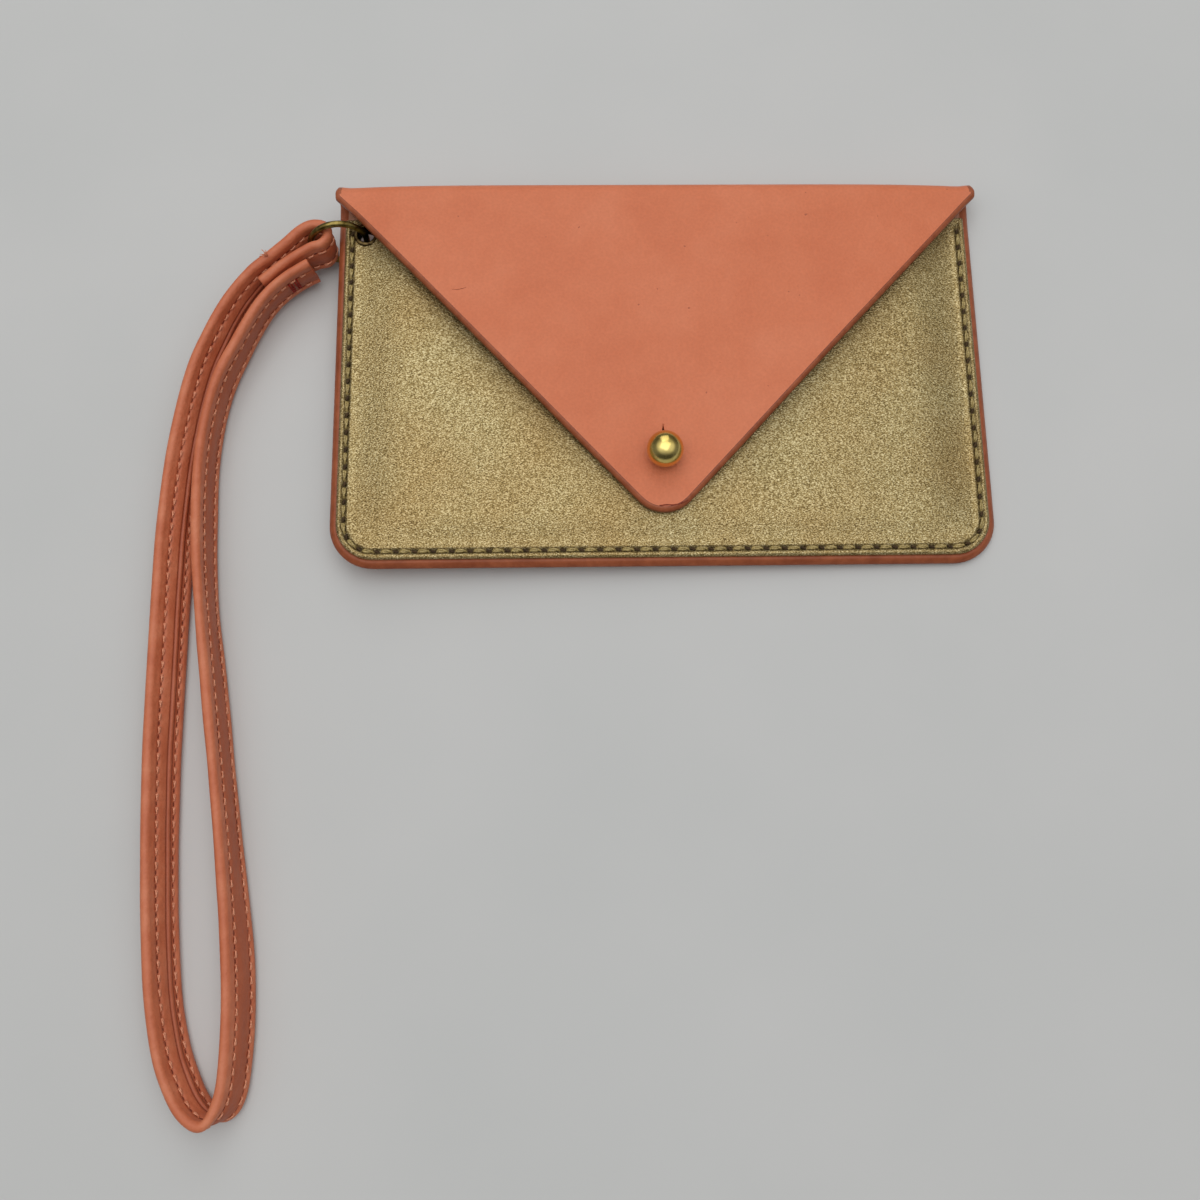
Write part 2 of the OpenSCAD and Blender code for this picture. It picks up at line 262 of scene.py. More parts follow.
def foil_leather(name):
    """Leather with a gold foil pressed on an embossed pebble grain: each pebble catches the light by itself,
    and the foil is a little browner where hands have worn it."""
    material, tree, shader, place = new_material(name)
    # Pebbles, 0.5 mm across, and finer flecks of foil, drawn out along the hide's grain
    stretch = {"Vector": place, "Rotation": (0, 0, -0.7), "Scale": (1.0, 1.6, 1.0)}
    drawn = add(tree, "ShaderNodeMapping", stretch).outputs[0]
    pebble = cells(tree, drawn, 0.5, "F1")
    fleck = noise(tree, drawn, 0.29, 2.0, 0.6)
    foil = ramp(tree, fleck, [(0.34, "#5C4B28"), (0.5, "#A08C59"), (0.66, "#DED1A5")])
    worn = ramp(tree, noise(tree, place, 16, 3.0), [(0.3, "#F2E6D8"), (0.7, "#FFFFFF")])
    tinted = mixed(tree, 1.0, foil, worn, "MULTIPLY")
    # Painted shade darkens the foil in the stitch groove, where the panel is pressed in, and round each needle hole
    dark = mixed(tree, layer(tree, "pinch"), tinted, colour("#3B2E16"))
    # and painted shade beside the flap's slanted edges, where the flap shades the foil
    painted_flap_shade = mixed(tree, layer(tree, "painted_flap_shade"), dark, colour("#4E3A1C"))
    connect(tree, shader, {
        "Base Color": painted_flap_shade, "Metallic": 0.75, "Roughness": 0.44,
        "Normal": emboss(tree, combined(tree, pebble, fleck), 0.8, 0.07),
    })
    return material


def suede_side(name):
    """The unfinished back of split leather: matt, short and fibrous."""
    material, tree, shader, place = new_material(name)
    nap = noise(tree, place, 0.5, 6.0, 0.75)
    connect(tree, shader, {
        "Base Color": ramp(tree, nap, [(0.3, "#A8735A"), (0.7, "#C68F74")]),
        "Roughness": 0.92, "Sheen Weight": 0.3, "Normal": emboss(tree, nap, 0.8, 0.15),
    })
    return material


def lining_cloth(name):
    """Plain woven polyester lining: crossing threads 0.5 mm apart, faintly shiny."""
    material, tree, shader, place = new_material(name)
    # A wave texture repeats every pi / 10 units
    sockets = {"Vector": place, "Scale": per_mm(0.5) * math.pi / 10}
    threads = [add(tree, "ShaderNodeTexWave", sockets, bands_direction=way).outputs["Fac"] for way in "XY"]
    weave = combined(tree, *threads, "MULTIPLY")
    connect(tree, shader, {
        "Base Color": ramp(tree, weave, [(0.0, "#8C7C68"), (1.0, "#BBAA92")]),
        "Roughness": 0.6, "Normal": emboss(tree, weave, 0.6, 0.08),
    })
    return material


def twisted_thread(name, light, dark, rough):
    """Bonded polyester sewing thread: two plies twisted together, with fine fibres and a waxy shine."""
    material, tree, shader, place = new_material(name)
    fibre = noise(tree, place, 0.25, 4.0)
    connect(tree, shader, {
        "Base Color": ramp(tree, fibre, [(0.35, dark), (0.65, light)]),
        "Roughness": rough, "Normal": emboss(tree, fibre, 0.4, 0.03),
    })
    return material


def cast_brass(name, light, dark, rough, tarnish):
    """Brass. Polished, it mirrors its surroundings through fine wiping marks; antiqued, it is stained
    brown in the hollows and worn yellow where it is touched."""
    material, tree, shader, place = new_material(name)
    stain = noise(tree, place, tarnish, 5.0, 0.6)
    wiped = add(tree, "ShaderNodeMapRange", {0: stain, 3: rough * 0.7, 4: rough * 1.4})
    connect(tree, shader, {
        "Base Color": ramp(tree, stain, [(0.36, dark), (0.66, light)]),
        "Metallic": 1.0, "Roughness": wiped.outputs[0],
        "Normal": emboss(tree, noise(tree, place, 0.3, 3.0), 0.15, 0.01),
    })
    return material


def strap_leather(name):
    """The strap's thinner coated leather, folded over and creased: redder and more worn than the flap,
    browner between its two rows of stitches, with painted shade in the stitch grooves and darker along the butt seam
    inside."""
    material, tree, shader, place = new_material(name)
    blotch = noise(tree, place, 5, 5.0, 0.65)
    tone = ramp(tree, blotch, [(0.3, "#BE6542"), (0.5, "#C9714D"), (0.7, "#D37F5B")])
    creased = combined(tree, cells(tree, place, 0.6), noise(tree, place, 0.9, 4.0))
    connect(tree, shader, {
        "Base Color": mixed(tree, layer(tree, "browned_and_groove_shade"), tone, colour("#9C4A2C")),
        "Roughness": 0.5, "Specular IOR Level": 0.4, "Normal": emboss(tree, creased, 0.8, 0.08),
    })
    return material


CORAL = coated_leather("coral_coated_split_leather", "#D97F5A", "#D57953", "#D0734D", "#9A5038")
PAINT = edge_paint("rust_acrylic_edge_paint", "#A45A38", "#8A4628")
CUT_LINE = edge_paint("dark_line_of_edge_paint", "#743826", "#5C2A20")
SUEDE = suede_side("coral_suede_side_of_split_leather")
GOLD = foil_leather("gold_foil_pebbled_leather")
CLOTH = lining_cloth("beige_woven_polyester_lining")
BRONZE_THREAD = twisted_thread("bronze_twisted_polyester_thread", "#C2AC70", "#84703C", 0.4)
CORAL_THREAD = twisted_thread("coral_twisted_polyester_thread", "#F0A884", "#CC7A56", 0.45)
RED_THREAD = twisted_thread("dark_red_twisted_polyester_thread", "#B0280C", "#7A1606", 0.8)
HOLE = twisted_thread("shadowed_needle_hole", "#4C3618", "#33230F", 0.9)
STRAP_HOLE = twisted_thread("shadowed_break_in_coral_leather", "#8A3A22", "#6C2A18", 0.9)
BRASS = cast_brass("polished_yellow_brass", "#E6D083", "#D2B863", 0.2, 6)
OLD_BRASS = cast_brass("antiqued_bronze_ring_wire", "#A08E52", "#57471F", 0.3, 1.4)
DARK_BRASS = cast_brass("antiqued_dark_brass_eyelet", "#7A6640", "#382B1B", 0.36, 1.0)
# Near-black inside the eyelet's bore: painted shade of the dark hole
BORE_SHADE = cast_brass("eyelet_bore_painted_shade", "#15100A", "#0A0805", 0.7, 1.0)
STRAP = strap_leather("coral_folded_strap_leather")


# ---------------------------------------------------------------------------
# Pieces
# ---------------------------------------------------------------------------
def to_piece(name, bm, materials):
    """A finished object from a bmesh in millimetres, with its faces turned outwards."""
    bmesh.ops.recalc_face_normals(bm, faces=bm.faces)
    mesh = bpy.data.meshes.new(name)
    bm.to_mesh(mesh)
    bm.free()
    mesh.transform(Matrix.Scale(MM, 4))
    for material in materials:
        mesh.materials.append(material)
    mesh.polygons.foreach_set("use_smooth", [True] * len(mesh.polygons))
    made = bpy.data.objects.new(name, mesh)
    bpy.context.scene.collection.objects.link(made)
    return made


def bell(x):
    """1 at 0, falling smoothly to 0 on both sides."""
    return math.exp(-(x ** 2))


def smooth_step(x):
    """0 below 0, rising smoothly to 1 at 1."""
    x = max(0.0, min(1.0, x))
    return x * x * (3 - 2 * x)


# The wrist strap's route, as in part.scad: x, y, lean of the top edge in x and y, lift off the table
ROUTE = [
    (-73.7, 17.9, -0.1, 0.1, 1.1), (-70.5, 20.4, -0.1, 0.2, 1.4), (-67.4, 22.4, -0.1, 0.4, 1.7),
    (-64.7, 23.8, -0.1, 0.6, 1.9), (-62.6, 24.4, -0.2, 0.8, 2.1), (-61.6, 26.0, -0.1, 0.8, 2.1),
    (-62.2, 27.8, -0.1, 0.8, 2.1), (-64.4, 28.3, -0.2, 0.8, 2.0), (-66.6, 27.3, -0.4, 0.8, 1.9),
    (-69.2, 25.0, -0.6, 0.8, 1.6), (-72.2, 22.5, -0.8, 0.7, 1.3), (-75.5, 19.7, -1.2, 0.7, 1.0),
    (-79.3, 14.7, -1.9, 0.6, 0.6), (-82.5, 8.0, -2.7, 0.5, 0.3), (-85.1, 0.5, -3.2, 0.2, 0.1),
    (-87.4, -13, -3.6, -0.1, 0), (-88.4, -28, -3.8, -0.3, 0), (-88.5, -42, -3.7, -0.3, 0),
    (-88.4, -56, -3.6, -0.2, 0), (-88.2, -70, -3.3, -0.1, 0), (-87.6, -84, -3.1, 0, 0),
    (-86.7, -97, -2.9, 0.1, 0), (-85.4, -109, -2.9, 0.1, 0), (-83.6, -117.5, -3.0, -0.7, 0),
    (-81.6, -122.7, -2.8, -1.3, 0), (-79.4, -126.5, -2.2, -1.6, 0), (-76.8, -128.6, -1.6, -0.8, 0),
    (-74.5, -127.6, -1.8, 0.6, 0), (-73.2, -124.8, -2.2, 0.8, 0), (-72.7, -120, -2.4, 0.4, 0),
    (-72.6, -112, -2.6, 0.3, 0), (-73.3, -102, -2.5, 0.2, 0), (-74.9, -90, -1.8, 0.1, 0),
    (-77.2, -74, -1.4, -0.1, 0), (-79.7, -57, -1.3, -0.3, 0), (-81.9, -42, -1.0, -0.3, 0),
    (-83.1, -28, -1.3, -0.5, 0), (-83.2, -14, -1.3, -0.6, 0), (-81.3, -2, -1.1, -0.2, 0.2),
    (-77.9, 6.3, -0.5, 0.1, 0.5), (-74.8, 12.3, -0.2, 0.1, 0.9), (-72.1, 15.9, -0.1, 0.1, 1.2),
    (-69.3, 18.4, -0.1, 0.1, 1.4), (-66.9, 19.9, 0.0, 0.1, 1.6), (-64.7, 21.0, 0.0, 0.2, 1.8),
]
STRAP_W, STRAP_T = 7.6, 1.8
SPINE_W = STRAP_W - STRAP_T
LAST_ROW = len(ROUTE) - 1


def route_row(u):
    i = min(int(u), LAST_ROW - 1)
    t = u - i
    a, b, c, d = (np.array(ROUTE[max(0, min(LAST_ROW, k))], float) for k in (i - 1, i, i + 1, i + 2))
    return (2 * b + (c - a) * t + (2 * a - 5 * b + 4 * c - d) * t ** 2 + (3 * b - a - 3 * c + d) * t ** 3) / 2


def strap_centre(u):
    r = route_row(u)
    rise = math.sqrt(SPINE_W ** 2 - r[2] ** 2 - r[3] ** 2)
    return np.array([r[0], r[1], -REST_SLOPE * (HALF_W - r[0]) + r[4] + (rise + STRAP_T) / 2])


def strap_axes(u):
    """The strap's way, its across direction towards the top edge, and the outward direction of its outer face."""
    r = route_row(u)
    way = strap_centre(min(u + 0.1, LAST_ROW)) - strap_centre(max(u - 0.1, 0))
    way /= np.linalg.norm(way)
    across = np.array([r[2], r[3], math.sqrt(SPINE_W ** 2 - r[2] ** 2 - r[3] ** 2)])
    across -= (across @ way) * way
    across /= np.linalg.norm(across)
    return way, across, np.cross(way, across)


STRAP_STEPS = 330
strap_us = [LAST_ROW * i / STRAP_STEPS for i in range(STRAP_STEPS + 1)]
strap_centres = [strap_centre(u) for u in strap_us]
strap_frames = [strap_axes(u) for u in strap_us]
strap_run = [0.0]
for one, other in zip(strap_centres, strap_centres[1:]):
    strap_run.append(strap_run[-1] + float(np.linalg.norm(other - one)))
STRAP_LENGTH = strap_run[-1]


def strap_place(s, a, b):
    """The point s along the strap, a towards its top edge from the middle and b out of its outer face."""
    s = max(0.0, min(STRAP_LENGTH - 1e-6, s))
    i = int(np.searchsorted(strap_run, s, side="right")) - 1
    t = (s - strap_run[i]) / (strap_run[i + 1] - strap_run[i])
    centre = strap_centres[i] * (1 - t) + strap_centres[i + 1] * t
    _, across, out = (f * (1 - t) + g * t for f, g in zip(strap_frames[i], strap_frames[i + 1]))
    return Vector(centre + a * across + b * out)


# Rows of stitches, at these distances from the strap's middle towards its top edge
STRAP_ROWS = (1.35, -2.2)
STRAP_STITCH, STRAP_PITCH = 1.6, 2.3
# and the butt seam inside: a rib with a line at either side
BUTT_SEAM, SEAM_RIB, SEAM_LINE = -1.15, 0.33, 0.5


def strap_face(a, inner):
    """Half the strap's thickness at a, with puffed edges, sunk stitch rows and, inside, the butt seam."""
    half = STRAP_T / 2 - 0.1
    puff = 0.1 * math.cos(max(-1, min(1, a / 3.2)) * math.pi) ** 2
    sunk = sum(0.2 * bell((a - row) / 0.3) for row in STRAP_ROWS)
    seam = 0.0
    if inner:
        rib, lines = abs(a - BUTT_SEAM), abs(a - BUTT_SEAM) - SEAM_LINE
        seam = 0.2 * math.exp(-(rib / SEAM_RIB) ** 4) - 0.16 * bell(lines / 0.14)
    return half + puff - sunk + seam


def strap_section():
    """The strap's outline: down the outer face, round the bottom edge, up the inner face, round the top edge."""
    flat = [2.9 - 5.8 * i / 44 for i in range(45)]
    rounds = [math.pi / 7 * k for k in range(1, 7)]
    half = strap_face(2.9, False)
    low = [(-2.9 - 0.9 * math.sin(t), half * math.cos(t)) for t in rounds]
    high = [(2.9 + 0.9 * math.sin(t), -half * math.cos(t)) for t in rounds]
    outer = [(a, strap_face(a, False)) for a in flat]
    inner = [(a, -strap_face(a, True)) for a in reversed(flat)]
    return outer + low + inner + high


def wrist_strap():
    section = strap_section()
    sides = len(section)
    bm = bmesh.new()
    bmesh.ops.create_grid(bm, x_segments=STRAP_STEPS, y_segments=sides, size=0.5)
    browned_and_groove_shade = bm.verts.layers.float.new("browned_and_groove_shade")
    for v in bm.verts:
        i = round((v.co.x + 0.5) * STRAP_STEPS)
        k = round((v.co.y + 0.5) * sides) % sides
        a, b = section[k]
        s = strap_run[i]
        # Slow ripples of leather that has been folded and worn
        ripple = 1 + 0.05 * math.sin(s / 5.3 + a) + 0.03 * math.sin(s / 2.1 - 2 * a)
        _, across, out = strap_frames[i]
        v.co = Vector(strap_centres[i] + a * across + b * ripple * out)
        # A browner band between the stitch rows, and painted shade in the stitch grooves
        between = smooth_step((a - STRAP_ROWS[1]) / 0.5) * smooth_step((STRAP_ROWS[0] - a) / 0.5)
        groove = max(bell((a - row) / 0.22) for row in STRAP_ROWS)
        v[browned_and_groove_shade] = min(1.0, (0.62 if b > 0 else 0.12) * between + 0.5 * groove)
        # On the inner face, darker along the butt seam's rib and darkest in the sunk lines beside it
        if b < 0:
            rib, lines = abs(a - BUTT_SEAM), abs(a - BUTT_SEAM) - SEAM_LINE
            seam = 0.35 * math.exp(-(rib / SEAM_RIB) ** 4) + 0.9 * bell(lines / 0.18)
            v[browned_and_groove_shade] = min(1.0, v[browned_and_groove_shade] + seam)
    bmesh.ops.remove_doubles(bm, verts=bm.verts, dist=0.0001)
    bmesh.ops.holes_fill(bm, edges=[e for e in bm.edges if e.is_boundary], sides=0)
    return to_piece("wrist_strap_leather", bm, [STRAP])


def one_stitch(length, thick, plies=2, turn=0.9):
    """A mesh of one stitch along +X: plies twisted together, whose ends dive into the needle holes."""
    bm = bmesh.new()
    for ply in range(plies):
        part = bmesh.new()
        bmesh.ops.create_grid(part, x_segments=6, y_segments=5, size=0.5)
        for v in part.verts:
            t, around = v.co.x, v.co.y * 2 * math.pi
            twist = math.pi * (turn * t + ply) + 0.5
            reach = thick * 0.30 * (plies > 1)
            centre = Vector((0, reach * math.cos(twist), reach * math.sin(twist) * 0.6))
            lift = thick * (0.55 - 2.2 * (2 * t) ** 6)
            r = thick * (0.34 if plies > 1 else 0.5)
            v.co = Vector((t * length, 0, lift)) + centre + Vector((0, r * math.cos(around), r * math.sin(around)))
        bmesh.ops.remove_doubles(part, verts=part.verts, dist=0.0001)
        bmesh.ops.recalc_face_normals(part, faces=part.faces)
        mesh = bpy.data.meshes.new("ply")
        part.to_mesh(mesh)
        part.free()
        bm.from_mesh(mesh)
        bpy.data.meshes.remove(mesh)
    made = bpy.data.meshes.new("stitch")
    bm.to_mesh(made)
    bm.free()
    return made


def sew(bm, stitch, places, material=0):
    """Adds a copy of a stitch at each place, a function from the stitch's own x, y, z to the finished point."""
    for place in places:
        first, first_face = len(bm.verts), len(bm.faces)
        bm.from_mesh(stitch)
        bm.verts.ensure_lookup_table()
        bm.faces.ensure_lookup_table()
        for v in bm.verts[first:]:
            v.co = place(*v.co)
        for f in bm.faces[first_face:]:
            f.material_index = material


def hole_mesh(length, width, depth):
    """A mesh of one needle hole: a shallow dark lens."""
    bm = bmesh.new()
    bmesh.ops.create_uvsphere(bm, u_segments=8, v_segments=5, radius=0.5)
    bmesh.ops.scale(bm, vec=(length, width, depth), verts=bm.verts)
    made = bpy.data.meshes.new("hole")
    bm.to_mesh(made)
    bm.free()
    return made


def strap_threads():
    """The strap's two rows of stitches, which show on both faces, with the needle holes between them."""
    bm = bmesh.new()
    stitch, hole = one_stitch(STRAP_STITCH, 0.42), hole_mesh(0.75, 0.34, 0.14)
    pitch = STRAP_PITCH
    for a0 in STRAP_ROWS:
        for side in (1, -1):
            start = 1.2 if side > 0 else 1.5
            spots = [start + pitch * k for k in range(int((STRAP_LENGTH - 2 * start) / pitch) + 1)]
            half = strap_face(a0, side < 0)

            def place_at(s0, side=side, a0=a0, half=half):
                return lambda x, y, z: strap_place(s0 + x, a0 + y, side * (half + z))

            sew(bm, stitch, [place_at(s) for s in spots if s + 0.9 < STRAP_LENGTH], 0)
            sew(bm, hole, [place_at(s - pitch / 2) for s in spots[1:]], 1)
    return to_piece("strap_threads", bm, [CORAL_THREAD, STRAP_HOLE])


strap = wrist_strap()
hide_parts("wrist_strap")
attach(strap, "strap")
threads = strap_threads()
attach(threads, "strap")


def bar_tack():
    """Dense bars of dark red thread across the top end of the strap."""
    bm = bmesh.new()
    bar = one_stitch(3.4, 0.4, turn=4)
    middle = float(np.interp(LAST_ROW - 1.75, strap_us, strap_run))
    spots = [-0.9, -0.42, 0.42, 0.9]
    face = strap_face(0, False)

    def place_at(s0, slant):
        return lambda x, y, z: strap_place(middle + s0 + y + slant * x, x - 0.2, face + z * 0.9 + 0.12)

    sew(bm, bar, [place_at(s, 0.06 * (k % 2 - 0.5)) for k, s in enumerate(spots)])
    return to_piece("bar_tack_threads", bm, [RED_THREAD])


tack = bar_tack()
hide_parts("bar_tack")
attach(tack, "strap")


def fibre_tuft(place, normal):
    """A few stray fibres that stick out of the strap's edge."""
    bm = bmesh.new()
    rng = np.random.default_rng(7)
    hair = one_stitch(1.0, 0.14, plies=1)
    at = np.array(place) / MM
    for k in range(16):
        way = np.array(normal) * 0.4 + np.array((-0.6, 0.5, 0.5)) + rng.normal(0, 0.6, 3)
        way /= np.linalg.norm(way)
        side = np.cross(way, [0, 0, 1.0])
        side /= np.linalg.norm(side)
        up = np.cross(side, way)
        size = rng.uniform(0.7, 2.0)
        sew(bm, hair, [lambda x, y, z: Vector(at + way * ((x + 0.4) * size) + side * y + up * (z + 0.3 * x * x))])
    return to_piece("fibre_tuft", bm, [CORAL_THREAD])


tuft = fibre_tuft(*on_surface(POINTS["fibre_tuft"], strap))
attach(tuft, "strap")


# ---------------------------------------------------------------------------
# Leather panels: flat sheets, cut to outline, given height and thickness, and bent round the fold
# ---------------------------------------------------------------------------
FOLD_RUN = FOLD_R * math.pi / 2


def cut_grid(bm, faces, xs, ys):
    """Cuts faces along lines of constant x and y, so that they can bend."""
    geom = list({v for f in faces for v in f.verts} | {e for f in faces for e in f.edges}) + list(faces)
    for axis, values in ((0, xs), (1, ys)):
        for value in values:
            spot, normal = [0, 0, 0], [0, 0, 0]
            spot[axis], normal[axis] = value, 1
            geom = bmesh.ops.bisect_plane(bm, geom=geom, plane_co=spot, plane_no=normal, dist=1e-4)["geom"]


def steps(low, high, step):
    count = max(1, round((high - low) / step))
    return [low + (high - low) * i / count for i in range(1, count)]


def round_hole(bm, radius):
    """Cuts the eyelet's round hole in a flat sheet."""
    middle = Vector(EYELET)
    near = [f for f in bm.faces if (f.calc_center_median().xy - middle).length < 6]
    cut_grid(bm, near, steps(middle.x - 3.2, middle.x + 3.2, 0.4), steps(middle.y - 3.2, middle.y + 3.2, 0.4))
    inside = [f for f in bm.faces if (f.calc_center_median().xy - middle).length < radius]
    bmesh.ops.delete(bm, geom=inside, context="FACES")
    for v in bm.verts:
        away = v.co.xy - middle
        if v.is_boundary and away.length < radius + 0.6:
            v.co.xy = middle + away.normalized() * radius


def rings_in(bm, widths):
    """Insets all the faces, one ring of faces after the other."""
    inner = list(bm.faces)
    for width in widths:
        bmesh.ops.inset_region(bm, faces=inner, thickness=width, use_even_offset=True, use_boundary=True)
    return inner


def thicken(bm, thickness, under):
    """Turns a flat sheet to a closed slab with a lower face of another material. Returns the lower face's points."""
    made = bmesh.ops.extrude_face_region(bm, geom=list(bm.faces), use_keep_orig=True)["geom"]
    lower = [v for v in made if isinstance(v, bmesh.types.BMVert)]
    for f in made:
        if isinstance(f, bmesh.types.BMFace):
            f.material_index = under if f.material_index == 0 else f.material_index
    for v in lower:
        v.co.z = -thickness
    return lower


def rounded_rectangle(left, right, low, high, radius):
    """A face with two round bottom corners."""
    bm = bmesh.new()
    bm.faces.new([bm.verts.new((x, y, 0)) for x, y in ((left, low), (right, low), (right, high), (left, high))])
    corners = [v for v in bm.verts if v.co.y < low + 1e-6]
    bmesh.ops.bevel(bm, geom=corners, offset=radius, offset_type="OFFSET", segments=12, profile=0.5,
                    material=-1, affect="VERTICES")
    return bm


def outline_gap(x, y):
    """How far a point of the back panel is inside its edge, along the sides and the bottom."""
    side, low = HALF_W - abs(x), y - BOTTOM_Y
    if side < CORNER_R and low < CORNER_R:
        return CORNER_R - math.hypot(CORNER_R - side, CORNER_R - low)
    return min(side, low)


# The stitch line: up from the middle of the bottom edge, round a corner and up a side
STITCH_R = CORNER_R - STITCH_INSET
STITCH_X = HALF_W - STITCH_INSET
STITCH_Y = BOTTOM_Y + CORNER_R
SIDE_RUN = MOUTH_Y - 1.5 - STITCH_Y
BEND_RUN = STITCH_R * math.pi / 2
HALF_BASE = STITCH_X - STITCH_R
STITCH_COUNT = int((2 * SIDE_RUN + 2 * BEND_RUN + 2 * HALF_BASE) / STITCH_PITCH)


def half_line(s):
    """Place and turn of the stitch line at a distance s from the middle of the bottom edge, to the right."""
    if s < HALF_BASE:
        return s, BOTTOM_Y + STITCH_INSET, 0.0
    if s < HALF_BASE + BEND_RUN:
        a = (s - HALF_BASE) / STITCH_R
        return HALF_BASE + STITCH_R * math.sin(a), STITCH_Y - STITCH_R * math.cos(a), a
    return STITCH_X, STITCH_Y + s - HALF_BASE - BEND_RUN, math.pi / 2


def line_place(s, across, height):
    """A point of the stitch line: s along it from its middle, across it towards the wallet's middle."""
    x, y, a = half_line(abs(s))
    x, y = x - across * math.sin(a), y + across * math.cos(a)
    return Vector((x if s >= 0 else -x, y, height))


def line_run(x, y):
    """The distance along the stitch line of the place nearest a point."""
    if y > STITCH_Y and HALF_W - abs(x) < 12:
        s = HALF_BASE + BEND_RUN + y - STITCH_Y
    elif abs(x) > HALF_BASE:
        s = HALF_BASE + STITCH_R * math.atan2(abs(x) - HALF_BASE, max(1e-6, STITCH_Y - y))
    else:
        s = abs(x)
    return math.copysign(s, x)


def needle_hole(x, y):
    """1 at a needle hole, falling to 0 between two holes."""
    s = line_run(x, y) / STITCH_PITCH + (STITCH_COUNT % 2) / 2
    off = abs(s - round(s)) * STITCH_PITCH
    return bell(off / 0.55)


def slow_wave(x, y):
    """The gentle unevenness of a leather panel, about 1 when largest."""
    return (math.sin(x / 13.1 + 0.6) * math.sin(y / 9.7 + 1.1) + 0.5 * math.sin(x / 6.3 - y / 8.9)) / 1.5


def gold_height(x, y):
    """The front panel's upper surface: a puffed margin, pinched along the stitches, and a raised middle."""
    gap = outline_gap(x, y)
    side = (HALF_W - abs(x) - 3.6) / (SIDE_MARGIN + SLOPE_W + 1.0 - 3.6)
    low = (y - BOTTOM_Y - 3.6) / (BOTTOM_MARGIN + SLOPE_W + 1.0 - 3.6)
    raised = (FRONT_TOP - MARGIN_TOP) * smooth_step(side) * smooth_step(low)
    d = gap - STITCH_INSET
    hole = needle_hole(x, y)
    pinch = (0.2 + 0.32 * hole) * bell(d / 0.45) if y < MOUTH_Y - 1 else 0.0
    puff = 0.2 * (1 - 0.6 * hole) * bell((abs(d) - 0.72) / 0.38)
    cut = 0.22 * bell((gap - RIM_W + 0.25) / 0.14)
    return MARGIN_TOP - 0.03 + raised - pinch + puff - cut + 0.06 * slow_wave(x, y) * smooth_step(d / 4)


def gold_front():
    """The gold front panel, one sheet from edge to edge, open along the mouth."""
    half = HALF_W - RIM_W + 0.25
    bm = rounded_rectangle(-half, half, BOTTOM_Y + RIM_W - 0.25, MOUTH_Y, CORNER_R - RIM_W + 0.25)
    # Finest along the stitch line
    widths = [0.12, 0.13, 0.25, 0.2, 0.2, 0.15, 0.12, 0.12, 0.12, 0.12, 0.15, 0.2, 0.25, 0.4, 0.6, 0.8, 1]
    inner = rings_in(bm, widths)
    rings = [f for f in bm.faces if f not in set(inner)]
    cut_grid(bm, rings, steps(-half, half, STITCH_PITCH / 5), steps(BOTTOM_Y, MOUTH_Y, STITCH_PITCH / 5))
    cut_grid(bm, inner, steps(-half, half, 2.0), steps(BOTTOM_Y, MOUTH_Y, 2.0))
    round_hole(bm, FRONT_HOLE_R)
    pinched = bm.verts.layers.float.new("pinch")
    painted_flap_shade = bm.verts.layers.float.new("painted_flap_shade")
    lower = set(thicken(bm, FRONT_T, 1))
    for v in bm.verts:
        x, y = v.co.x, v.co.y
        height = gold_height(x, y)
        if v in lower:
            v.co.z = max(LEATHER_T + 0.02, height - FRONT_T)
            continue
        v.co.z = height
        d = outline_gap(x, y) - STITCH_INSET
        # Distance outside the flap's slanted edges
        out = max(SLANT_X * (abs(x) - HALF_W) - SLANT_Y * (y - FLAP_CORNER_Y), TIP_APEX_Y - y)
        # Painted shade of the flap's slanted edges on the foil: strongest at the edge, fading outwards, and weaker
        # towards the tip
        under = smooth_step((out + 5) / 5) * smooth_step((d + 0.2) / 3)
        v[painted_flap_shade] = (0.1 + 0.22 * smooth_step((y + 30) / 22)) * under * bell(max(0.0, out) / 3.2)
        # Painted shade along the stitch groove and round each needle hole
        if y < MOUTH_Y - 1:
            hole = 0.6 * needle_hole(x, y) * bell(d / 0.5)
            v[pinched] = min(1.0, 0.42 * bell(d / 0.34) + hole)
    return to_piece("gold_front_panel", bm, [GOLD, SUEDE])


def bent(v, lift):
    """Bends a point of the flat sheet, whose height is v.z above the outside of the leather, round the fold.
    lift is +1 for the flap's half and -1 for the back panel's."""
    if v.y <= FOLD_Y:
        return Vector((v.x, v.y, FOLD_R + lift * (FOLD_R + v.z)))
    a = (v.y - FOLD_Y) / FOLD_R
    r = FOLD_R + v.z
    return Vector((v.x, FOLD_Y + r * math.sin(a), FOLD_R + lift * r * math.cos(a)))


EDGE_RINGS = [0.12, 0.14, 0.16, 0.16, 0.14, 0.08, 0.3]


def edge_height(gap):
    """The outer surface near a painted edge: rounded over the cut, with a fine groove where the paint ends."""
    round_off = 0.5 * (1 - min(1.0, gap / 0.75)) ** 2
    groove = 0.05 * bell((gap - 0.76) / 0.06)
    return -round_off - groove


def rim_height(gap):
    """The upper side of the back panel's rim, thick with edge paint and rounded down to the cut."""
    return 0.22 * smooth_step((1.5 - gap) / 0.4) - 1.0 * (1 - min(1.0, gap / 1.3)) ** 2.2


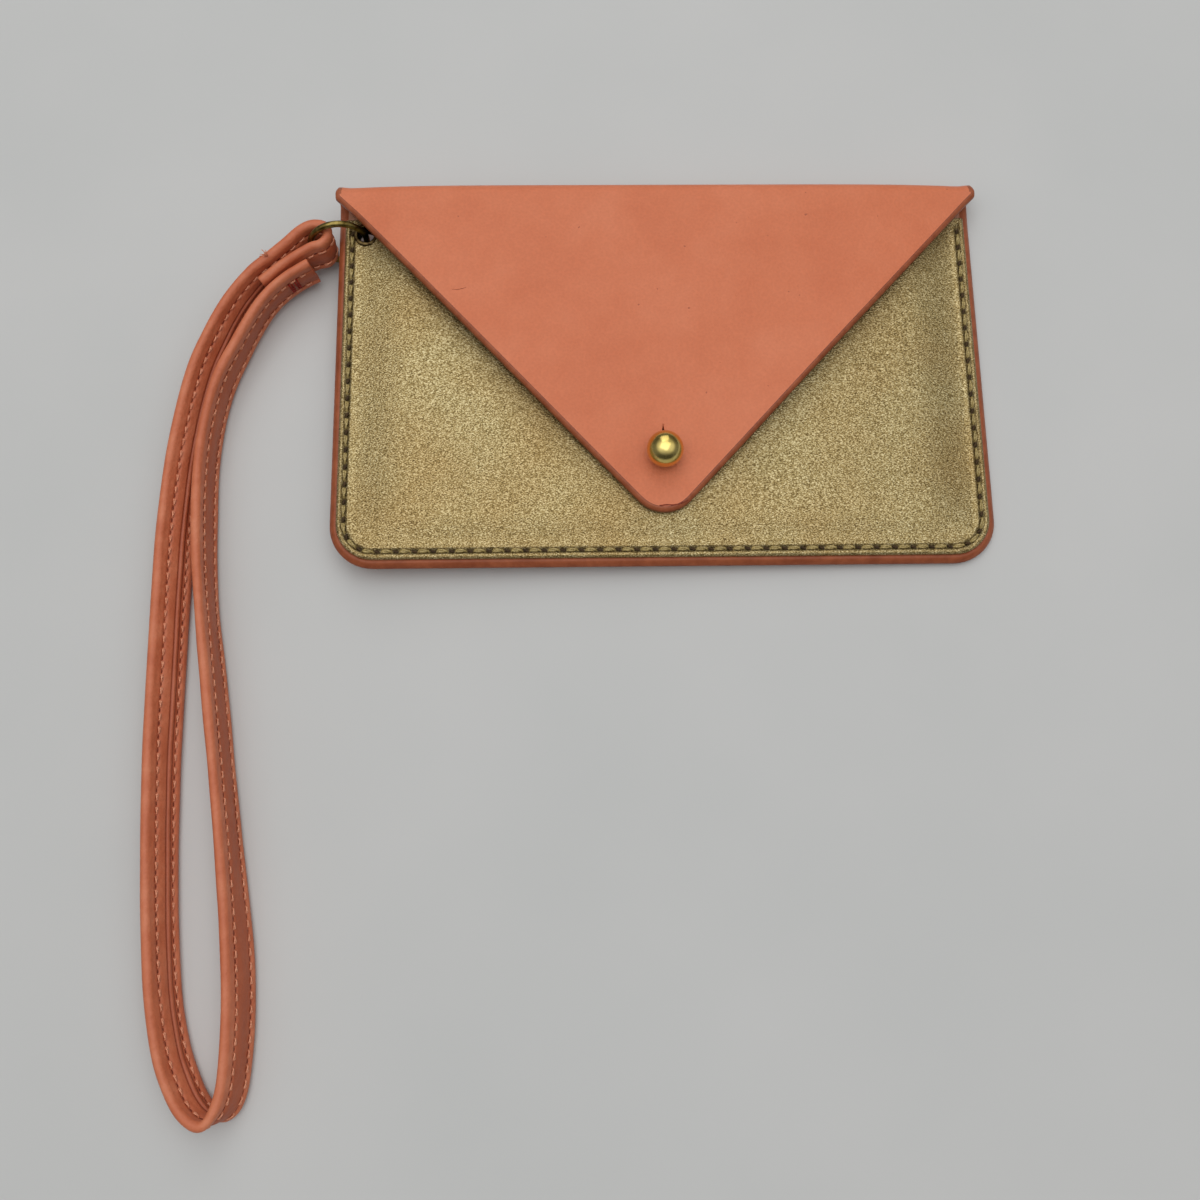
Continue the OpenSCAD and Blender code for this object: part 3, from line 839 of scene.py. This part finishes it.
def fold_ends(co, x):
    """The fold's two ends, where the bent leather flares outwards and drops a little behind its middle."""
    end = bell((HALF_W - abs(x)) / 1.7)
    end *= smooth_step((co.y - FOLD_Y + 2.5) / 3.0) * smooth_step((co.z - 0.5) / 2)
    away = Vector((0, co.y - FOLD_Y, co.z - FOLD_R))
    drop = 0.75 * (abs(x) / HALF_W) ** 6 * smooth_step((co.y - FOLD_Y + 1) / 3)
    if away.length > 0.1:
        co = co + away.normalized() * (0.4 * end)
    return co + Vector((math.copysign(0.12, x) * end, -drop, 0))


def sheet_gap(x, y, edges):
    """The distance of a point to the nearest of these edges."""
    best = 1e9
    for (ax, ay), (bx, by) in edges:
        dx, dy = bx - ax, by - ay
        t = max(0, min(1, ((x - ax) * dx + (y - ay) * dy) / (dx * dx + dy * dy)))
        best = min(best, math.hypot(x - ax - t * dx, y - ay - t * dy))
    return best


def boundary_lines(bm, keep):
    """The outline edges of a sheet that keep() accepts, as pairs of points."""
    return [
        tuple((v.co.x, v.co.y) for v in e.verts) for e in bm.edges
        if e.is_boundary and keep(*[sum(c) / 2 for c in zip(*[(v.co.x, v.co.y) for v in e.verts])])
    ]


def paint_faces(bm, lines, leather, paint, line):
    """Gives the faces near the cut edges the paint, with a thin dark line along its inner side."""
    for f in bm.faces:
        c = f.calc_center_median()
        gap = sheet_gap(c.x, c.y, lines)
        wide = 0.38 if c.y > FOLD_Y else 0.0
        f.material_index = paint if gap < 0.72 + wide else line if gap < 0.8 else leather


def back_leather():
    """The back panel and the lower half of the fold, with painted edges and the back of the stitching pressed in."""
    bm = rounded_rectangle(-HALF_W, HALF_W, BOTTOM_Y, FOLD_Y + FOLD_RUN, CORNER_R)
    seam_y = FOLD_Y + FOLD_RUN
    lines = boundary_lines(bm, lambda x, y: y < seam_y - 0.01)
    inner = rings_in(bm, EDGE_RINGS + [0.5, 0.3, 0.2, 0.2, 0.2, 0.3, 0.8])
    rings = [f for f in bm.faces if f not in set(inner)]
    cut_grid(bm, rings, steps(-HALF_W, HALF_W, STITCH_PITCH / 4), steps(BOTTOM_Y, FOLD_Y, STITCH_PITCH / 4))
    cut_grid(bm, inner, steps(-HALF_W, HALF_W, 2.4), steps(BOTTOM_Y, FOLD_Y, 2.4))
    cut_grid(bm, list(bm.faces), [], steps(FOLD_Y, seam_y, FOLD_RUN / 10) + [FOLD_Y])
    round_hole(bm, WASHER_SEAT_R)
    paint_faces(bm, lines, 0, 1, 2)
    lower = set(thicken(bm, LEATHER_T, 3))
    for f in bm.faces:
        c = f.calc_center_median()
        if c.z < -0.5 and f.material_index != 1 and c.y < FOLD_Y and outline_gap(c.x, c.y) < 1.75:
            f.material_index = 1
    for v in bm.verts:
        x, y = v.co.x, v.co.y
        fall = edge_height(sheet_gap(x, y, lines))
        if v in lower:
            up = smooth_step((FOLD_Y - y) / 4)
            v.co.z = -LEATHER_T - fall * (1 - up) - rim_height(outline_gap(x, y)) * up
            away = v.co.xy - Vector(EYELET)
            if away.length < WASHER_SEAT_R + 0.05:
                # The hole is wider outside, where the washer sits in it
                v.co.xy = Vector(EYELET) + away.normalized() * BACK_HOLE_R
            continue
        d = outline_gap(x, y) - STITCH_INSET
        sunk = (0.12 + 0.12 * needle_hole(x, y)) * bell(d / 0.4) if y < MOUTH_Y - 1 else 0.0
        v.co.z = fall - sunk
    for v in bm.verts:
        v.co = fold_ends(bent(v.co, -1), v.co.x)
    return to_piece("back_leather", bm, [CORAL, PAINT, CUT_LINE, SUEDE])


def keyhole_edges(bm):
    """The outline of the button hole: a circle with a slit above it."""
    hole = bmesh.ops.create_circle(bm, cap_ends=False, segments=40, radius=KEYHOLE_D / 2,
                                   matrix=Matrix.Translation((0, STUD_Y, 0)))["verts"]
    for v in sorted(hole, key=lambda v: -v.co.y)[:3]:
        side = (v.co.x > 0.05) - (v.co.x < -0.05)
        v.co.x, v.co.y = side * SLIT_W / 6, SLIT_TOP - 0.35 * abs(side)
    return list({e for v in hole for e in v.link_edges})


def flap_leather():
    """The flap and the upper half of the fold, with painted edges and a button hole with its slit."""
    seam_y = FOLD_Y + FOLD_RUN
    bm = bmesh.new()
    sides = [(x, y) for x in (-HALF_W, HALF_W) for y in (seam_y, FLAP_CORNER_Y)]
    corners = [*sides[:2], (0, TIP_APEX_Y), *sides[:1:-1]]
    bm.faces.new([bm.verts.new((x, y, 0)) for x, y in corners])
    tip = [v for v in bm.verts if v.co.y < TIP_APEX_Y + 0.01]
    bmesh.ops.bevel(bm, geom=tip, offset=TIP_TANGENT, offset_type="OFFSET", segments=30, profile=0.5,
                    material=-1, affect="VERTICES")
    lines = boundary_lines(bm, lambda x, y: y < seam_y - 0.01)
    inner = rings_in(bm, EDGE_RINGS + [0.6, 1.2])
    rings = [f for f in bm.faces if f not in set(inner)]
    cut_grid(bm, rings, steps(-HALF_W, HALF_W, 1.2), steps(-30, FOLD_Y, 1.2))
    around = list({e for f in inner for e in f.edges})
    bmesh.ops.delete(bm, geom=inner, context="FACES_ONLY")
    hole = keyhole_edges(bm)
    hole_lines = [tuple((v.co.x, v.co.y) for v in e.verts) for e in hole]
    filled = bmesh.ops.triangle_fill(bm, use_beauty=True, edges=around + hole)["geom"]
    filled = [f for f in filled if isinstance(f, bmesh.types.BMFace)]
    cut_grid(bm, filled, steps(-HALF_W, HALF_W, 2.4), steps(-32, FOLD_Y, 2.4))
    near = [f for f in bm.faces if (f.calc_center_median().xy - Vector((0, STUD_Y + 1))).length < 7.5]
    cut_grid(bm, near, steps(-4.8, 4.8, 0.4), steps(-23, -9, 0.4))
    cut_grid(bm, list(bm.faces), [], steps(FOLD_Y, seam_y, FOLD_RUN / 10) + [FOLD_Y])
    paint_faces(bm, lines, 0, 1, 2)
    lower = set(thicken(bm, LEATHER_T, 3))
    for v in bm.verts:
        x, y = v.co.x, v.co.y
        gap = sheet_gap(x, y, lines)
        wave = 0.07 * slow_wave(x + 20, y) * smooth_step(gap / 6) * smooth_step((FOLD_Y - y) / 6)
        # The flap's left edge curls up a little beside the eyelet
        wave += 1.0 * bell((x + 50) / 13) * smooth_step((FOLD_Y - y) / 5) * smooth_step((9 - gap) / 9)
        # and both slanted edges stand a little off the front between the fold and the button
        bulge = smooth_step((FOLD_Y - y) / 12) * smooth_step((16 - gap) / 16)
        wave += 0.8 * bell((abs(x) - 31) / 15) * bulge
        rim = (0.2 if y < STUD_Y + 2.2 else 0.1) * bell(sheet_gap(x, y, hole_lines) / 0.3)
        v.co.z = wave + (-LEATHER_T - edge_height(gap) * 0.6 if v in lower else edge_height(gap) - rim)
    for v in bm.verts:
        v.co = fold_ends(bent(v.co, 1), v.co.x)
    return to_piece("flap_leather", bm, [CORAL, PAINT, CUT_LINE, SUEDE])


gold = gold_front()
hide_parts("front_panel")
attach(gold, "wallet")

back = back_leather()
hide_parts("back_panel", "fold_strip")
flap = flap_leather()
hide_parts("flap", "keyhole_lips")


def scuff(name, trail, carrier, width):
    """A fine dark crack or scuff: a thin ribbon laid on a finished surface along points of the photograph."""
    bm = bmesh.new()
    rows = []
    spots = [on_surface(point, carrier) for point in trail]
    for k, (place, normal) in enumerate(spots):
        ahead, behind = spots[min(k + 1, len(spots) - 1)][0], spots[max(k - 1, 0)][0]
        side = normal.cross(ahead - behind).normalized()
        half = width / 2 * (0.35 if k in (0, len(spots) - 1) else 1.0)
        base = place / MM - normal * 0.03
        section = ((-1, 0), (-0.6, 0.05), (0.6, 0.05), (1, 0))
        rows.append([bm.verts.new(base + side * a * half + normal * b) for a, b in section])
    for one, other in zip(rows, rows[1:]):
        for k in range(4):
            bm.faces.new([one[k], one[(k + 1) % 4], other[(k + 1) % 4], other[k]])
    bm.faces.new(rows[0])
    bm.faces.new(rows[-1])
    return to_piece(name, bm, [STRAP_HOLE])


CHIP = [(657, 508), (660, 505.6), (666, 504.8), (673, 504.9), (679, 504.6), (682, 502.4), (688, 500.2), (696, 496.8)]
chip = scuff("tip_paint_crack", CHIP, flap, 0.34)
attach(chip, "flap")
mark = scuff("flap_scuff", [(452, 289.2), (457, 289.6), (462, 288.6), (466, 287.4)], flap, 0.14)
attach(mark, "flap")


def edge_threads():
    """The line of stitches through both panels: bronze thread on the front and on the back, and its needle holes."""
    bm = bmesh.new()
    stitch, hole = one_stitch(STITCH_LEN, 0.6, turn=1.3), hole_mesh(1.1, 0.5, 0.3)
    middles = [(k - (STITCH_COUNT - 1) / 2) * STITCH_PITCH for k in range(STITCH_COUNT)]
    for top, way in ((MARGIN_TOP - 0.2, 1), (0.46, -1)):
        def place_at(s0, slant=0.0, top=top, way=way):
            return lambda x, y, z: line_place(s0 + x, y + slant * x, top + way * z)

        sew(bm, stitch, [place_at(s) for s in middles], 0)
        gaps = [s + STITCH_PITCH / 2 for s in [middles[0] - STITCH_PITCH] + middles]
        sew(bm, hole, [place_at(s, -0.35) for s in gaps], 1)
    return to_piece("edge_threads", bm, [BRONZE_THREAD, HOLE])


edge = edge_threads()
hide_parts("edge_stitching")
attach(edge, "wallet")


# ---------------------------------------------------------------------------
# Metal fittings
# ---------------------------------------------------------------------------
def turned(profile, centre, steps=48):
    """A turned part: a profile of radius and height, spun round a vertical axis."""
    bm = bmesh.new()
    verts = [bm.verts.new((r, 0, z)) for r, z in profile]
    edges = [bm.edges.new(pair) for pair in zip(verts, verts[1:])]
    bmesh.ops.spin(bm, geom=verts + edges, cent=(0, 0, 0), axis=(0, 0, 1), dvec=(0, 0, 0),
                   angle=2 * math.pi, steps=steps, use_merge=True, use_duplicate=False)
    bmesh.ops.remove_doubles(bm, verts=bm.verts, dist=0.0005)
    bmesh.ops.recalc_face_normals(bm, faces=bm.faces)
    bmesh.ops.translate(bm, vec=centre, verts=bm.verts)
    return bm


def ball_stud():
    """The stud: a round foot, a slim neck and a ball head, turned from one rod."""
    r = BALL_D / 2
    join = math.asin(1.4 / r)
    ball = [(r * math.sin(a), BALL_Z - r * math.cos(a)) for a in np.linspace(join, math.pi, 40)]
    ball[-1] = (0.0, BALL_Z + r)
    foot = [(r, FRONT_TOP + z) for r, z in ((0, 0), (2.5, 0), (2.6, 0.1), (2.55, 0.34), (2.4, 0.42))]
    neck = [(r, FRONT_TOP + z) for r, z in ((1.75, 0.46), (1.45, 0.7))]
    return to_piece("ball_stud_brass", turned(foot + neck + ball, (0, STUD_Y, 0), 72), [BRASS])


def eyelet_rings():
    """The eyelet's turned-over front flange and barrel."""
    z = MARGIN_TOP
    roll = [(1.55, 0.2), (1.58, 0.36), (1.68, 0.45), (1.85, 0.49), (2.1, 0.43),
            (2.28, 0.3), (2.35, 0.12), (2.33, 0), (1.9, -0.02)]
    foot = [(1.88, 0.2), (2.2, 0.16), (2.2, 0.02), (1.55, 0.0)]
    profile = [(1.55, 0.0)] + [(r, z + lift) for r, lift in roll] + foot
    bm = turned(profile, (*EYELET, 0), 48)
    # The faces inside the bore take the near-black painted shade
    for f in bm.faces:
        if (f.calc_center_median().xy - Vector(EYELET)).length < 1.57:
            f.material_index = 1
    return to_piece("eyelet_brass", bm, [DARK_BRASS, BORE_SHADE])


def split_ring():
    """The strap ring: bent from round wire, with a fine gap where its ends meet."""
    bm = bmesh.new()
    made = bmesh.ops.create_circle(bm, cap_ends=True, segments=20, radius=WIRE_D / 2,
                                   matrix=Matrix.Translation((RING_R, 0, 0)) @ Matrix.Rotation(math.pi / 2, 4, "X"))
    gap = 0.03
    bmesh.ops.spin(bm, geom=list(bm.faces) + list(bm.edges) + list(bm.verts), cent=(0, 0, 0), axis=(0, 0, 1),
                   dvec=(0, 0, 0), angle=2 * math.pi - gap, steps=96, use_merge=False, use_duplicate=False)
    bmesh.ops.recalc_face_normals(bm, faces=bm.faces)
    turn = (
        Matrix.Translation((*EYELET, RING_Z)) @ Matrix.Rotation(math.radians(RING_TURN), 4, "Z")
        @ Matrix.Translation((-RING_R - RING_OFFSET, 0, 0))
        @ Matrix.Rotation(math.radians(90 - RING_LEAN), 4, "X") @ Matrix.Rotation(math.radians(-70), 4, "Z")
    )
    bmesh.ops.transform(bm, matrix=turn, verts=bm.verts)
    return to_piece("strap_ring_wire", bm, [OLD_BRASS])


stud = ball_stud()
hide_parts("ball_stud")
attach(stud, "wallet")
eyelet = eyelet_rings()
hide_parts("eyelet")
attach(eyelet, "wallet")
ring = split_ring()
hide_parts("strap_ring")
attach(ring, "ring")

# CAD nodes that keep their shape
plain = {"eyelet_washer": DARK_BRASS, "stud_screw": BRASS, "back_lining": CLOTH, "front_lining": CLOTH}
for node, material in plain.items():
    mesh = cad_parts[node].data
    mesh.materials.clear()
    mesh.materials.append(material)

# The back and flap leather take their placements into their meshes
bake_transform(back)
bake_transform(flap)


# ---------------------------------------------------------------------------
# Floor and light
# ---------------------------------------------------------------------------
def table_top():
    material, tree, shader, place = new_material("pale_grey_laminate_table")
    smear = ramp(tree, noise(tree, place, 60, 4.0), [(0.3, "#C3C4C2"), (0.7, "#C8C8C6")])
    connect(tree, shader, {"Base Color": smear, "Roughness": 0.6, "Specular IOR Level": 0.25})
    bm = bmesh.new()
    bmesh.ops.create_grid(bm, x_segments=4, y_segments=4, size=1500)
    for v in bm.verts:
        v.co.z = -REST_SLOPE * (HALF_W - v.co.x) - 0.12
    made = to_piece("table_top", bm, [material])


table_top()

world = bpy.data.worlds.new("room")
bpy.context.scene.world = world
world.use_nodes = True
room = world.node_tree
way = add(room, "ShaderNodeTexCoord", {}).outputs["Generated"]
split = add(room, "ShaderNodeSeparateXYZ", {0: way})


def fade(axis, low, high, start, end):
    """Brightness that goes from start to end while a direction's part along an axis goes from low to high."""
    sockets = {0: split.outputs[axis], 1: low, 2: high, 3: start, 4: end}
    return add(room, "ShaderNodeMapRange", sockets, interpolation_type="SMOOTHSTEP").outputs[0]


# A bright ceiling over dimmer walls, the darkest wall on the side where the photographer stands,
# and a ceiling that dims towards the far side
above = combined(room, fade("Z", 0.42, 0.72, 0.2, 0.9), fade("Y", -0.9, -0.3, 0.3, 1.0), "MULTIPLY")
brightness = combined(room, above, fade("Y", 0.1, 0.6, 1.12, 0.6), "MULTIPLY")
connect(room, room.nodes["Background"], {"Color": colour("#EDEDEE"), "Strength": brightness})


def soft_light(name, place, size, power):
    data = bpy.data.lights.new(name, "AREA")
    data.shape, data.size, data.energy = "SQUARE", size * MM, power
    lamp = bpy.data.objects.new(name, data)
    lamp.location = Vector(place) * MM
    lamp.rotation_euler = (-lamp.location).to_track_quat("-Z", "Y").to_euler()
    bpy.context.scene.collection.objects.link(lamp)


soft_light("ceiling_light", (-80, 40, 1000), 1050, 3.5)
soft_light("window_light", (-60, 750, 640), 700, 1.8)

bpy.context.scene.view_settings.view_transform = "Standard"
